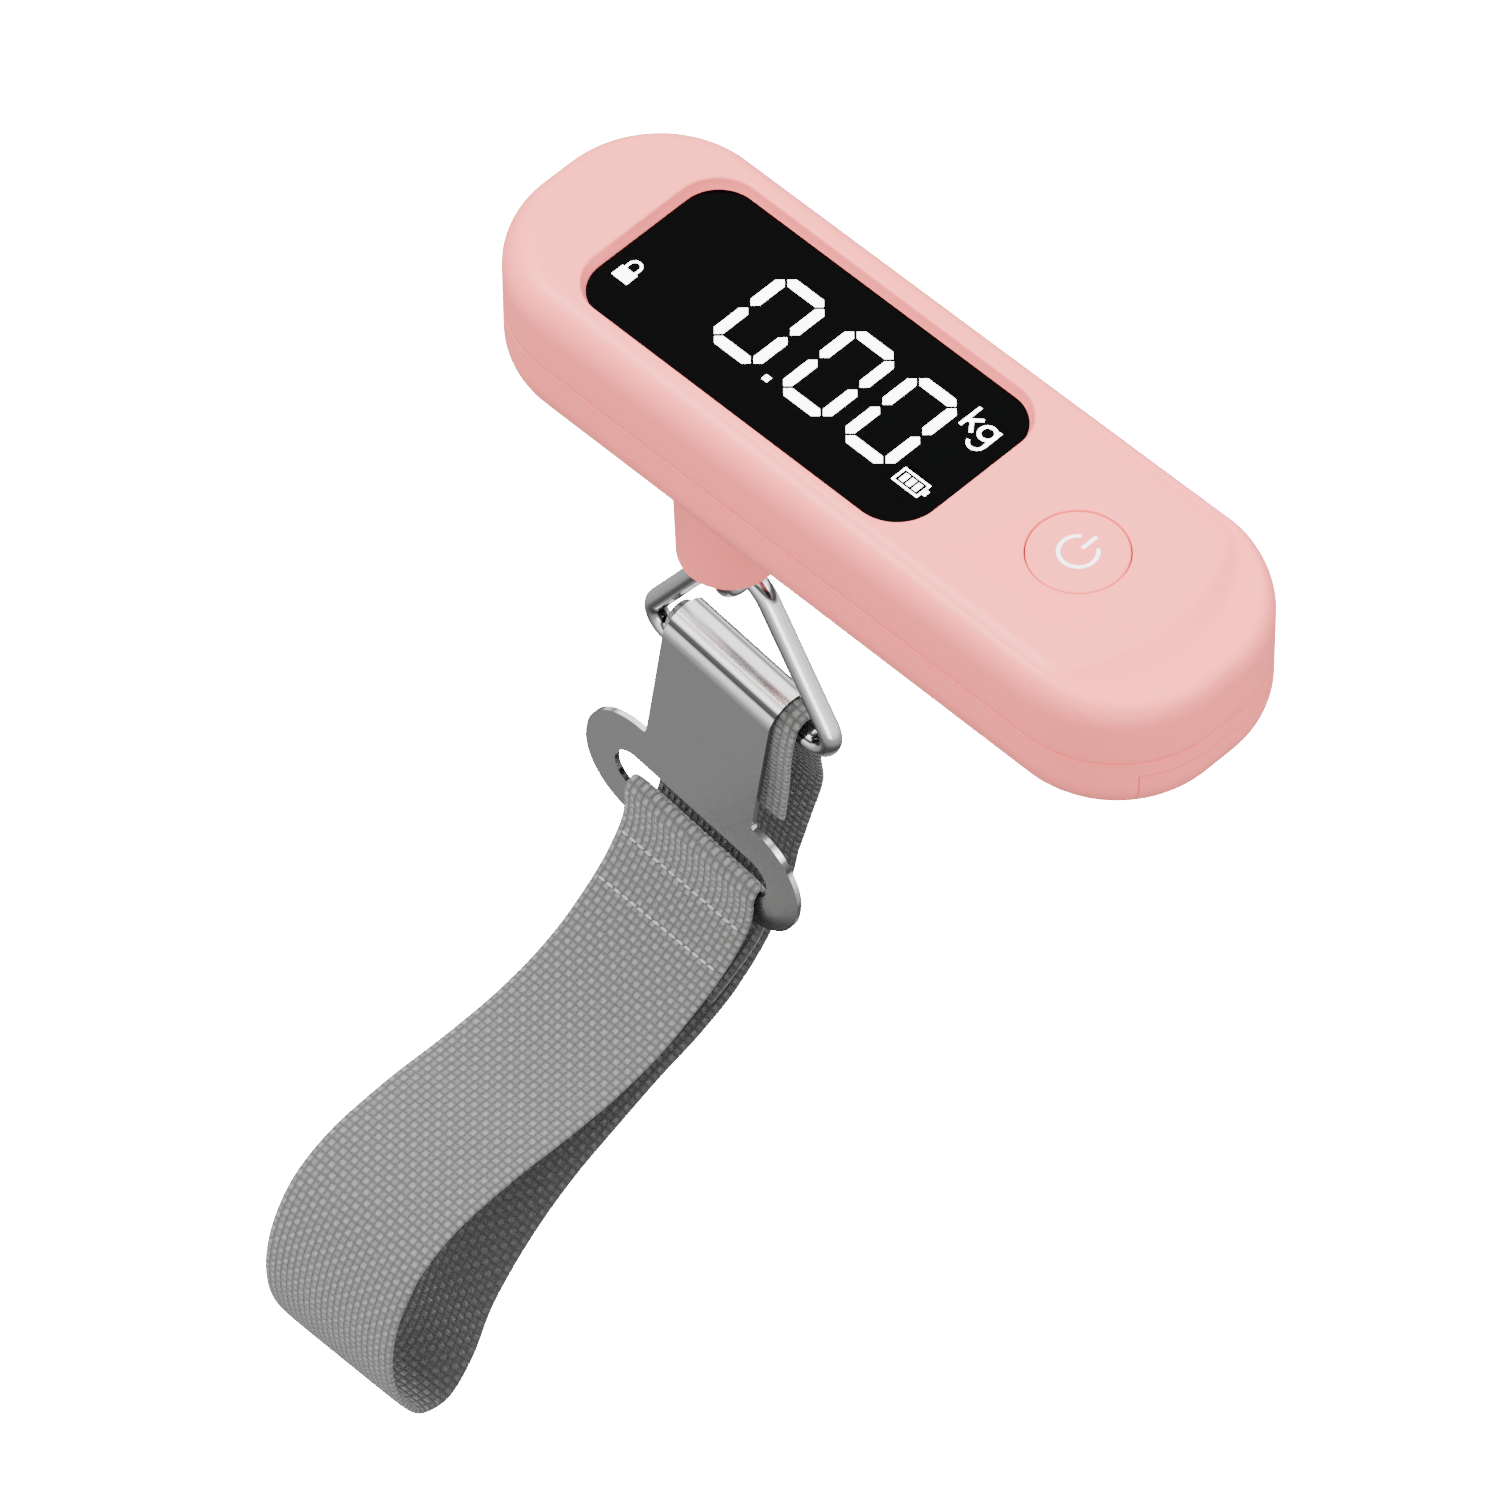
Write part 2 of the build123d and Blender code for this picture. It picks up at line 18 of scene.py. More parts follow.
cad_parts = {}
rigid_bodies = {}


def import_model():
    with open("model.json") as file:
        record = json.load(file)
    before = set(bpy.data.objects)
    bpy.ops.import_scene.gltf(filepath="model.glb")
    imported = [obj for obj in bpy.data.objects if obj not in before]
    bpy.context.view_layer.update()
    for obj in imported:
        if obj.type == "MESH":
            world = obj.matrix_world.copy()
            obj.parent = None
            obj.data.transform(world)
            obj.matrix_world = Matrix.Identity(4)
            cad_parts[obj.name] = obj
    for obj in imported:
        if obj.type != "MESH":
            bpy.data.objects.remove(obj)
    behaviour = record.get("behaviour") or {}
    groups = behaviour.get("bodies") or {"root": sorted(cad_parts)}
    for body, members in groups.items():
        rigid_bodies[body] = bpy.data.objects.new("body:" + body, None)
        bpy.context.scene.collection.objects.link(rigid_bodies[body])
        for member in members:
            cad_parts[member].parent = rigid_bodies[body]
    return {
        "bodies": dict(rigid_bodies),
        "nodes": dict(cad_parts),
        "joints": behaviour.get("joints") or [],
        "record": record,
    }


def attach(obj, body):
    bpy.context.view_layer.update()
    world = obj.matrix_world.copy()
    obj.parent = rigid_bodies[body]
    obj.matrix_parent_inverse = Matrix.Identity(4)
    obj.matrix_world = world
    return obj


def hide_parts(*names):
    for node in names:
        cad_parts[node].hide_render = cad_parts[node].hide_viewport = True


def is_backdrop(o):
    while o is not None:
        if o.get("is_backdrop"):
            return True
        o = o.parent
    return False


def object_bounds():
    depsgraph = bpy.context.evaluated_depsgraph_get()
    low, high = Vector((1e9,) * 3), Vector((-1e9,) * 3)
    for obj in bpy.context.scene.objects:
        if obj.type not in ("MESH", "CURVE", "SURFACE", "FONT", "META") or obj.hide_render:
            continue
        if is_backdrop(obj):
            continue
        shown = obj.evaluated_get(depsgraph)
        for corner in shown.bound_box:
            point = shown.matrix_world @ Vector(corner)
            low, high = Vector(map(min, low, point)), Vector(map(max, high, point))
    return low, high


logging.basicConfig(level=logging.INFO, format="%(message)s")
LOG = logging.getLogger("scene")
MM = 0.001


class Body(str, Enum):
    """The CAD bodies that the pieces ride on."""

    HANDLE = "handle"
    BUTTON = "button"
    STRAP_LOOP = "strap_loop"


def linear(hex_colour: str) -> tuple[float, float, float, float]:
    """Turns an sRGB colour into linear light.

    Args:
        hex_colour: six hexadecimal digits, red, green and blue.

    Returns:
        Linear red, green, blue and an alpha of 1.
    """
    channels = [int(hex_colour[i:i + 2], 16) / 255 for i in (0, 2, 4)]
    light = [c / 12.92 if c <= 0.04045 else ((c + 0.055) / 1.055) ** 2.4 for c in channels]
    return (*light, 1.0)


def add_node(tree: bpy.types.NodeTree, kind: str, **values) -> bpy.types.Node:
    """Adds a shader node and sets its properties and inputs.

    Args:
        tree: the material's or world's node tree.
        kind: the node's type name.
        values: property names, or input names with spaces written as underscores.

    Returns:
        The new node.
    """
    node = tree.nodes.new(kind)
    for name, value in values.items():
        label = name.replace("_", " ")
        sockets = [s for s in node.inputs if s.name.lower() == label.lower() and s.enabled]
        if sockets:
            sockets[0].default_value = value
        else:
            setattr(node, name, value)
    return node


@dataclass(frozen=True)
class Finish:
    """A plain surface with a fine grain.

    The two scales count lumps in a metre, so 1000 stands for lumps of 1 mm.  The grain of the real
    plastic is finer than the render can show, so it is drawn as coarse as it needs to be seen.
    """

    name: str
    colour: str
    roughness: float = 0.4
    metallic: float = 0.0
    coat: float = 0.0
    coat_roughness: float = 0.08
    specular: float = 0.5
    grain: float = 0.0
    grain_scale: float = 900.0
    grain_detail: float = 4.0
    grain_depth: float = 0.0002
    mottle: float = 0.0
    mottle_scale: float = 60.0
    mottle_detail: float = 3.0
    least_roughness: float = 0.02
    emission: float = 0.0

    def make(self) -> bpy.types.Material:
        """Builds the material.

        Returns:
            The Blender material.
        """
        material = bpy.data.materials.new(self.name)
        material.use_nodes = True
        tree = material.node_tree
        shader = tree.nodes["Principled BSDF"]
        shader.inputs["Base Color"].default_value = linear(self.colour)
        shader.inputs["Roughness"].default_value = self.roughness
        shader.inputs["Metallic"].default_value = self.metallic
        shader.inputs["Coat Weight"].default_value = self.coat
        shader.inputs["Specular IOR Level"].default_value = self.specular
        shader.inputs["Coat Roughness"].default_value = self.coat_roughness
        if self.emission:
            shader.inputs["Emission Color"].default_value = linear(self.colour)
            shader.inputs["Emission Strength"].default_value = self.emission
        place = add_node(tree, "ShaderNodeTexCoord")
        if self.mottle:
            noise = add_node(tree, "ShaderNodeTexNoise", Scale=self.mottle_scale, Detail=self.mottle_detail)
            tree.links.new(place.outputs["Object"], noise.inputs["Vector"])
            spread = add_node(tree, "ShaderNodeMapRange")
            spread.inputs["To Min"].default_value = max(self.roughness - self.mottle, self.least_roughness)
            spread.inputs["To Max"].default_value = self.roughness + self.mottle
            tree.links.new(noise.outputs["Fac"], spread.inputs["Value"])
            tree.links.new(spread.outputs["Result"], shader.inputs["Roughness"])
        if self.grain:
            noise = add_node(tree, "ShaderNodeTexNoise", Scale=self.grain_scale, Detail=self.grain_detail)
            tree.links.new(place.outputs["Object"], noise.inputs["Vector"])
            bump = add_node(tree, "ShaderNodeBump", Strength=self.grain, Distance=self.grain_depth)
            tree.links.new(noise.outputs["Fac"], bump.inputs["Height"])
            tree.links.new(bump.outputs["Normal"], shader.inputs["Normal"])
        return material


@dataclass(frozen=True)
class Chrome:
    """Bright metal whose painted reflections, light and dark bands, follow the surface's own direction.

    Each band is a place and a grey.  The place goes from 0, facing straight down, to 1, facing
    straight up, and the grey is painted in for what a polished surface turned that way would reflect.
    """

    name: str
    painted_reflection_bands: tuple = (
        (0.0, 0.30), (0.34, 0.62), (0.43, 0.10), (0.49, 0.16), (0.56, 0.60), (0.70, 0.85), (0.76, 0.80),
        (0.80, 0.04), (0.86, 0.06), (0.90, 0.90), (0.945, 0.12), (0.975, 0.85), (1.0, 0.6),
    )
    blue_lift: float = 1.01
    flat: float = 0.0
    square_limit: float = 0.999
    roughness: float = 0.12
    wear_scale: float = 120.0
    wear_detail: float = 3.0
    smoothest: float = 0.8
    roughest: float = 1.3

    def make(self) -> bpy.types.Material:
        """Builds the metal with painted reflection bands; faces square to Y take the flat grey if given.

        Returns:
            The Blender material.
        """
        material = bpy.data.materials.new(self.name)
        material.use_nodes = True
        tree = material.node_tree
        shader = tree.nodes["Principled BSDF"]
        shader.inputs["Metallic"].default_value = 1.0
        shader.inputs["Roughness"].default_value = self.roughness
        place = add_node(tree, "ShaderNodeTexCoord")
        split = add_node(tree, "ShaderNodeSeparateXYZ")
        tree.links.new(place.outputs["Normal"], split.inputs["Vector"])
        height = add_node(tree, "ShaderNodeMath", operation="MULTIPLY_ADD")
        height.inputs[1].default_value = 0.5
        height.inputs[2].default_value = 0.5
        tree.links.new(split.outputs["Z"], height.inputs[0])
        # Painted reflections: the base colour is a ramp of grey bands on how far the surface faces up.
        ramp = add_node(tree, "ShaderNodeValToRGB")
        points = ramp.color_ramp.elements
        while len(points) < len(self.painted_reflection_bands):
            points.new(0.5)
        for point, (where, level) in zip(points, self.painted_reflection_bands):
            point.position = where
            point.color = (level, level, level * self.blue_lift, 1)
        tree.links.new(height.outputs[0], ramp.inputs["Fac"])
        colour = ramp.outputs["Color"]
        if self.flat:
            size = add_node(tree, "ShaderNodeMath", operation="ABSOLUTE")
            tree.links.new(split.outputs["Y"], size.inputs[0])
            square = add_node(tree, "ShaderNodeMath", operation="GREATER_THAN")
            square.inputs[1].default_value = self.square_limit
            tree.links.new(size.outputs[0], square.inputs[0])
            mix = add_node(tree, "ShaderNodeMix", data_type="RGBA")
            mix.inputs[7].default_value = (self.flat, self.flat, self.flat, 1)
            tree.links.new(square.outputs[0], mix.inputs[0])
            tree.links.new(colour, mix.inputs[6])
            colour = mix.outputs[2]
        tree.links.new(colour, shader.inputs["Base Color"])
        noise = add_node(tree, "ShaderNodeTexNoise", Scale=self.wear_scale, Detail=self.wear_detail)
        tree.links.new(place.outputs["Object"], noise.inputs["Vector"])
        spread = add_node(tree, "ShaderNodeMapRange")
        spread.inputs["To Min"].default_value = self.roughness * self.smoothest
        spread.inputs["To Max"].default_value = self.roughness * self.roughest
        tree.links.new(noise.outputs["Fac"], spread.inputs["Value"])
        tree.links.new(spread.outputs["Result"], shader.inputs["Roughness"])
        return material


@dataclass(frozen=True)
class Webbing:
    """Coarse plain weave on a UV map whose unit is a millimetre, with painted shade in its dips."""

    name: str
    light: str
    dark: str
    pitch: float = 1.15
    roughness: float = 0.85
    sheen: float = 0.25
    over_share: float = 0.35
    fuzz_share: float = 0.55
    fuzz_scale: float = 2.6
    fuzz_detail: float = 5.0
    dark_below: float = 0.15
    light_above: float = 1.25
    bump: float = 0.9
    bump_depth: float = 0.0004

    def make(self) -> bpy.types.Material:
        """Builds the weave: over-and-under bumps from the product of two sine waves, painted shade in dips.

        Returns:
            The Blender material.
        """
        material = bpy.data.materials.new(self.name)
        material.use_nodes = True
        tree = material.node_tree
        shader = tree.nodes["Principled BSDF"]
        shader.inputs["Roughness"].default_value = self.roughness
        shader.inputs["Sheen Weight"].default_value = self.sheen
        place = add_node(tree, "ShaderNodeUVMap", uv_map="weave")
        split = add_node(tree, "ShaderNodeSeparateXYZ")
        tree.links.new(place.outputs["UV"], split.inputs["Vector"])
        waves = []
        for axis in ("X", "Y"):
            turn = add_node(tree, "ShaderNodeMath", operation="MULTIPLY")
            turn.inputs[1].default_value = math.pi / self.pitch
            tree.links.new(split.outputs[axis], turn.inputs[0])
            sine = add_node(tree, "ShaderNodeMath", operation="SINE")
            tree.links.new(turn.outputs[0], sine.inputs[0])
            size = add_node(tree, "ShaderNodeMath", operation="ABSOLUTE")
            tree.links.new(sine.outputs[0], size.inputs[0])
            waves.append((sine, size))
        over = add_node(tree, "ShaderNodeMath", operation="MULTIPLY")
        tree.links.new(waves[0][0].outputs[0], over.inputs[0])
        tree.links.new(waves[1][0].outputs[0], over.inputs[1])
        lump = add_node(tree, "ShaderNodeMath", operation="MULTIPLY")
        tree.links.new(waves[0][1].outputs[0], lump.inputs[0])
        tree.links.new(waves[1][1].outputs[0], lump.inputs[1])
        height = add_node(tree, "ShaderNodeMath", operation="MULTIPLY_ADD")
        height.inputs[1].default_value = self.over_share
        tree.links.new(over.outputs[0], height.inputs[0])
        tree.links.new(lump.outputs[0], height.inputs[2])
        fuzz = add_node(tree, "ShaderNodeTexNoise", Scale=self.fuzz_scale, Detail=self.fuzz_detail)
        tree.links.new(place.outputs["UV"], fuzz.inputs["Vector"])
        rough = add_node(tree, "ShaderNodeMath", operation="MULTIPLY_ADD")
        rough.inputs[1].default_value = self.fuzz_share
        tree.links.new(fuzz.outputs["Fac"], rough.inputs[0])
        tree.links.new(height.outputs[0], rough.inputs[2])
        # Painted shade: dark in the weave's dips, light on its crests; the fuzz adds random tone.
        mix = add_node(tree, "ShaderNodeMapRange")
        mix.inputs["From Min"].default_value = self.dark_below
        mix.inputs["From Max"].default_value = self.light_above
        tree.links.new(rough.outputs[0], mix.inputs["Value"])
        ramp = add_node(tree, "ShaderNodeMix", data_type="RGBA")
        ramp.inputs[6].default_value = linear(self.dark)
        ramp.inputs[7].default_value = linear(self.light)
        tree.links.new(mix.outputs["Result"], ramp.inputs[0])
        tree.links.new(ramp.outputs[2], shader.inputs["Base Color"])
        bump = add_node(tree, "ShaderNodeBump", Strength=self.bump, Distance=self.bump_depth)
        tree.links.new(rough.outputs[0], bump.inputs["Height"])
        tree.links.new(bump.outputs["Normal"], shader.inputs["Normal"])
        return material


class Finishes:
    """Every material in the scene, made once."""

    def __init__(self) -> None:
        """Makes the materials. Which plastic or plating each piece has is taken, not known."""
        # Moulded ABS: a fine grain and a soft satin sheen with no clear reflections.
        self.pink = Finish("pink_satin", "FF7673", roughness=0.42, coat=0.03, grain=0.06,
                           grain_scale=1400).make()
        # Smoked acrylic: a near-black face that is smooth and almost without glare.
        self.window = Finish("window_gloss", "020202", roughness=0.1, specular=0.015, mottle=0.02).make()
        # Bent steel wire, chrome plated: sharp painted reflections, bands of light and dark along its round.
        self.chrome = Chrome("chrome_wire").make()
        # Pressed steel sheet, chrome plated: a level grey face, and painted reflection bands on its roll.
        self.plate = Chrome("chrome_plate", flat=0.40, roughness=0.22).make()
        # Lit display segments: plain white, glowing. The printed mark on the button: plain white,
        # with a painted glow.
        self.white_ink = Finish("lit_segments", "FFFFFF", roughness=0.5, emission=6.0).make()
        self.icon_ink_painted_glow = Finish("button_mark", "FFFFFF", roughness=0.45, emission=1.0).make()
        # Polyester thread and coarse woven polyester: dull, with a light outer face; the darker copy on the
        # inner face is painted shade inside the loop.
        self.thread = Finish("stitch_thread", "8E908E", roughness=0.9, grain=0.4).make()
        self.web_out = Webbing("webbing_outside", "6A6C6A", "2E302E").make()
        self.web_in_painted_shade = Webbing("webbing_inside_painted_shade", "464847", "1C1E1E").make()
        # Pieces inside the body: foam, coated board, moulded chip, machined beam, copper foil.
        self.foam = Finish("gasket_foam", "101010", roughness=0.9, grain=0.3).make()
        self.board = Finish("board_green", "1E6B3C", roughness=0.45, grain=0.1).make()
        self.chip = Finish("chip_black", "141416", roughness=0.6, grain=0.1).make()
        self.aluminium = Finish("aluminium_beam", "B8BABE", roughness=0.3, metallic=1.0, grain=0.1).make()
        self.foil = Finish("gauge_foil", "B3702A", roughness=0.35, mottle=0.05).make()
        # Zinc-plated steel and nickel-plated strip: grey and faintly warm metal, a little uneven.
        self.zinc = Finish("zinc_steel", "A6A6A2", roughness=0.32, metallic=1.0, mottle=0.06).make()
        self.nickel = Finish("nickel_contact", "B7B3A6", roughness=0.25, metallic=1.0, mottle=0.05).make()
        # Shrink-wrapped cell and the display's dark block: smooth and glossy.
        self.cell = Finish("cell_wrap", "23262C", roughness=0.25, coat=0.4, mottle=0.04).make()
        self.display = Finish("display_block", "18181A", roughness=0.2, mottle=0.03).make()


def mesh_object(name: str, points: np.ndarray, faces: list, materials: list, smooth: bool = True,
                slots: np.ndarray | None = None) -> bpy.types.Object:
    """Makes a mesh object at the origin from points in millimetres.

    Args:
        name: the object's name.
        points: the corners, one row each, in millimetres.
        faces: tuples of corner numbers.
        materials: the object's materials.
        smooth: whether faces are shaded smooth.
        slots: a material number for each face.

    Returns:
        The new object.
    """
    mesh = bpy.data.meshes.new(name)
    mesh.from_pydata((np.asarray(points, float) * MM).tolist(), [], [tuple(map(int, f)) for f in faces])
    mesh.polygons.foreach_set("use_smooth", [smooth] * len(mesh.polygons))
    for material in materials:
        mesh.materials.append(material)
    if slots is not None:
        mesh.polygons.foreach_set("material_index", np.asarray(slots, np.int32))
    mesh.validate()
    mesh.update()
    obj = bpy.data.objects.new(name, mesh)
    bpy.context.scene.collection.objects.link(obj)
    return obj


def grid_faces(rows: int, columns: int, wrap_columns: bool = False) -> list:
    """Quads of a grid whose corners are numbered row by row.

    Args:
        rows: how many rows of corners.
        columns: how many corners in a row.
        wrap_columns: whether the last column joins the first.

    Returns:
        The quads, as tuples of corner numbers.
    """
    across = columns if wrap_columns else columns - 1
    row, column = np.meshgrid(np.arange(rows - 1), np.arange(across), indexing="ij")
    here, beside = row * columns + column, row * columns + (column + 1) % columns
    quads = np.stack([here, beside, beside + columns, here + columns], axis=-1).reshape(-1, 4)
    return [tuple(quad) for quad in quads.tolist()]


def spline(points: np.ndarray, count: int, steps: int = 24) -> np.ndarray:
    """Evenly spaced points on a smooth curve through the given points.

    The curve is a centripetal Catmull-Rom spline.  Knots stand apart by the square root of the
    distance between points, and each stretch is blended from four points in three straight blends.

    Args:
        points: the points to pass through, one row each.
        count: how many points to give back.
        steps: how finely each stretch is worked out.

    Returns:
        The points on the curve, equally far apart along it.
    """
    p = np.asarray(points, float)
    p = np.vstack([2 * p[0] - p[1], p, 2 * p[-1] - p[-2]])
    four = np.stack([p[:-3], p[1:-2], p[2:-1], p[3:]])
    gaps = np.maximum(np.linalg.norm(np.diff(four, axis=0), axis=2), 1e-9) ** 0.5
    knots = np.concatenate([np.zeros((1, gaps.shape[1])), np.cumsum(gaps, axis=0)])
    t = np.linspace(knots[1], knots[2], steps, endpoint=False, axis=1)[:, :, None]
    k0, k1, k2, k3 = knots[:, :, None, None]

    def blend(a: np.ndarray, b: np.ndarray, start: np.ndarray, end: np.ndarray) -> np.ndarray:
        """Goes straight from a at the start knot to b at the end knot."""
        return ((end - t) * a + (t - start) * b) / (end - start)

    p0, p1, p2, p3 = four[:, :, None, :]
    first, second, third = blend(p0, p1, k0, k1), blend(p1, p2, k1, k2), blend(p2, p3, k2, k3)
    curve = blend(blend(first, second, k0, k2), blend(second, third, k1, k3), k1, k2)
    fine = np.vstack([curve.reshape(-1, p.shape[1]), p[-2]])
    along = path_length(fine)
    where = np.linspace(0, along[-1], count)
    return np.stack([np.interp(where, along, fine[:, k]) for k in range(fine.shape[1])], axis=1)


def path_length(points: np.ndarray) -> np.ndarray:
    """The distance from the first point to each point, along straight steps."""
    return np.concatenate([[0], np.cumsum(np.linalg.norm(np.diff(points, axis=0), axis=1))])


@dataclass
class Strap:
    """The webbing: a band of constant width between a left and a right edge that lean and roll."""

    width: float = 25.0
    thickness: float = 1.1
    samples: int = 620
    ring_samples: int = 40
    edge_inset: float = 0.25
    edge_squareness: float = 0.28
    face_roundness: float = 0.5
    lean_from: float = -100.0
    lean_height: float = 34.5
    roll_from: float = -120.0
    roll_height: float = 16.0
    roll: float = math.radians(8.5)
    loop_x: float = -32.6
    top_x: float = -26.8
    line: tuple = (
        (-0.9, -87.0), (-1.5, -78.0), (-2.2, -71.8), (-2.35, -68.6), (-2.35, -65.5), (-1.66, -63.84),
        (0.0, -63.15), (1.66, -63.84), (2.35, -65.5), (3.2, -71.5), (4.7, -78.0), (6.1, -84.5), (5.2, -91.5),
        (3.3, -102.5), (-1.0, -113.0), (-7.8, -120.8), (-15.3, -124.7), (-23.0, -127.2), (-31.0, -130.4),
        (-40.0, -134.4), (-48.0, -140.0), (-55.5, -148.0), (-60.0, -156.5), (-64.5, -160.8), (-69.3, -159.6),
        (-72.6, -154.5), (-74.4, -148.6), (-74.6, -141.5), (-72.7, -134.6), (-68.6, -128.9), (-62.0, -125.5),
        (-51.0, -124.2), (-40.0, -124.4), (-30.0, -123.8), (-22.0, -121.8), (-15.0, -118.2), (-9.0, -113.4),
        (-5.6, -108.6), (-4.9, -105.6), (-4.75, -103.3), (-3.55, -101.9), (-2.4, -103.2), (-2.2, -105.5),
        (-2.2, -110.2), (-4.0, -113.6), (-8.2, -117.2), (-13.0, -120.0),
    )
    stitch_shares: tuple = (0.868, 0.893)
    stitch_count: int = 15
    stitch_reach: float = 0.86
    stitch_half: float = 0.62
    stitch_thick: float = 0.24
    stitch_flatness: float = 0.8
    stitch_lift: float = 0.12
    stitch_samples: tuple = (7, 8)
    wobble: float = 0.35
    wobble_turn: float = 3.1

    def profile(self) -> tuple[np.ndarray, np.ndarray]:
        """The middle line and its normals in the Y-Z plane.

        Returns:
            The points and the unit normals, which point to the outside of the loop.
        """
        line = spline(np.array(self.line), self.samples)
        ahead = np.gradient(line, axis=0)
        ahead /= np.linalg.norm(ahead, axis=1)[:, None]
        return line, np.stack([-ahead[:, 1], ahead[:, 0]], axis=1)

    def place(self, line: np.ndarray, normals: np.ndarray, offset: float,
              across: float | np.ndarray) -> np.ndarray:
        """Carries profile points out to a place across the band.

        The band leans towards the top along X, and its right edge drops where it rolls with the plate.

        Args:
            line: profile points.
            normals: their normals.
            offset: distance from the middle line along the normal.
            across: -1 for the left edge to 1 for the right edge, one number or one for each point.

        Returns:
            Points in three dimensions, in millimetres.
        """
        height = line[:, 1]
        lean = np.clip((height - self.lean_from) / self.lean_height, 0, 1)
        roll = np.clip((height - self.roll_from) / self.roll_height, 0, 1)
        half = self.width / 2 - self.edge_inset
        x = self.loop_x + lean * (self.top_x - self.loop_x) + across * half
        drop = across * half * math.sin(self.roll) * roll
        y = line[:, 0] + normals[:, 0] * offset
        return np.stack([x, y, height + normals[:, 1] * offset - drop], axis=1)

    def build(self, finishes: Finishes) -> bpy.types.Object:
        """Makes the band with rounded edges, its UV map and its two stitch lines.

        The band's cross-section is a flattened superellipse, carried along the middle line.

        Args:
            finishes: the scene's materials.

        Returns:
            The strap object.
        """
        line, normals = self.profile()
        turn = np.linspace(0, 2 * np.pi, self.ring_samples, endpoint=False)
        flat = np.sign(np.cos(turn)) * np.abs(np.cos(turn)) ** self.edge_squareness
        lift = np.sign(np.sin(turn)) * np.abs(np.sin(turn)) ** self.face_roundness
        rings = [self.place(line, normals, self.thickness / 2 * h, a) for a, h in zip(flat, lift)]
        points = np.stack(rings, axis=1).reshape(-1, 3)
        count = len(turn)
        # Known fault: the rings run clockwise along the line, so these faces point inwards.
        last = (self.samples - 1) * count
        faces = grid_faces(self.samples, count, wrap_columns=True)
        faces += [tuple(range(count))[::-1], tuple(range(last, last + count))]
        # Faces on the loop's inner side and the two ends take the darker webbing copy: painted shade.
        outside = np.where(lift + np.roll(lift, -1) > 0, 1, 0)
        slots = np.concatenate([np.tile(outside, self.samples - 1), [0, 0]])
        obj = mesh_object("webbing_strap", points, faces, [finishes.web_in_painted_shade, finishes.web_out], slots=slots)
        along = path_length(line)
        u = np.tile(flat * self.width / 2, self.samples)
        v = np.repeat(along, count)
        layer = obj.data.uv_layers.new(name="weave")
        corner = np.zeros(len(obj.data.loops), np.int32)
        obj.data.loops.foreach_get("vertex_index", corner)
        layer.data.foreach_set("uv", np.stack([u[corner], v[corner]], axis=1).ravel().astype(np.float32))
        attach(obj, Body.STRAP_LOOP.value)
        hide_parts("strap")
        threads = self.stitches(line, normals, finishes)
        LOG.info("strap: %.1f mm long", along[-1])
        return obj

    def stitches(self, line: np.ndarray, normals: np.ndarray, finishes: Finishes) -> bpy.types.Object:
        """Two rows of short thread lumps across the outside of the front run.

        Each lump is a spindle: its thickness is a half ellipse along X, and it stands off the band.

        Args:
            line: the strap's middle line.
            normals: its normals.
            finishes: the scene's materials.

        Returns:
            The thread object.
        """
        number = np.arange(self.stitch_count)
        sway = np.rint(self.wobble * np.sin(self.wobble_turn * number)).astype(int)
        rows = (np.array(self.stitch_shares) * (self.samples - 1)).astype(int)
        here = np.clip(rows[:, None] + sway, 1, self.samples - 2).ravel()
        share = 2 * number / (self.stitch_count - 1) - 1
        across = np.tile(self.stitch_reach * share, len(rows))
        base = self.place(line[here], normals[here], self.thickness / 2 + self.stitch_lift, across)
        level = np.zeros((len(here), 1))
        ahead = np.hstack([level, line[here + 1] - line[here - 1]])
        ahead /= np.linalg.norm(ahead, axis=1)[:, None]
        out = np.hstack([level, normals[here]])
        length, round_ = self.stitch_samples
        s = np.linspace(-1, 1, length)[None, :, None, None]
        turn = np.linspace(0, 2 * np.pi, round_, endpoint=False)[None, None, :, None]
        thick = self.stitch_thick * np.sqrt(np.maximum(1 - s * s, 0.04))
        points = (base[:, None, None] + np.array([self.stitch_half, 0, 0]) * s
                  + ahead[:, None, None] * np.cos(turn) * thick
                  + out[:, None, None] * np.sin(turn) * thick * self.stitch_flatness).reshape(-1, 3)
        size = length * round_
        lump = grid_faces(length, round_, wrap_columns=True)
        lump += [tuple(range(round_))[::-1], tuple(range(size - round_, size))]
        faces = [tuple(start + i for i in face) for start in range(0, len(points), size) for face in lump]
        obj = mesh_object("strap_stitches", points, faces, [finishes.thread])
        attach(obj, Body.STRAP_LOOP.value)
        return obj


SEGMENTS = {
    "a": ((0.04, 1.0), (0.96, 1.0)), "b": ((1.0, 0.98), (1.0, 0.52)), "c": ((1.0, 0.48), (1.0, 0.02)),
    "d": ((0.04, 0.0), (0.96, 0.0)), "e": ((0.0, 0.48), (0.0, 0.02)), "f": ((0.0, 0.98), (0.0, 0.52)),
}


